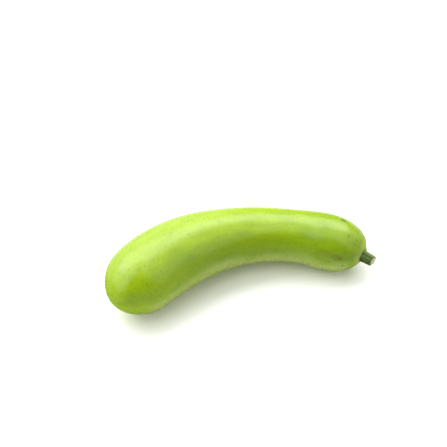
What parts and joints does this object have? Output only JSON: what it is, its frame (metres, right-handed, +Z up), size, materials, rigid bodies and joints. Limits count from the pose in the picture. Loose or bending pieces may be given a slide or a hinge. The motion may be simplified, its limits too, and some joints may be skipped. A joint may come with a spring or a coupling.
{
  "type": "bottle gourd",
  "caption": "Long curved bottle gourd with a thick rounded blossom end, a slim waist and a short ribbed cut stem, lying on its side.",
  "frame": {"origin": "middle of the bounding box of the whole gourd, at the height of the surface it lies on", "axes": "+X along the longest extent, from the blossom end towards the stem; +Z up from the surface it lies on; the bend bulges towards +Y"},
  "size_m": [0.2708, 0.1308, 0.0731],
  "materials": {
    "gourd_skin": "satin",
    "stem_rind": "matte"
  },
  "bodies": {
    "root": {"gourd": "gourd_skin", "stem": "stem_rind"}
  },
  "joints": []
}
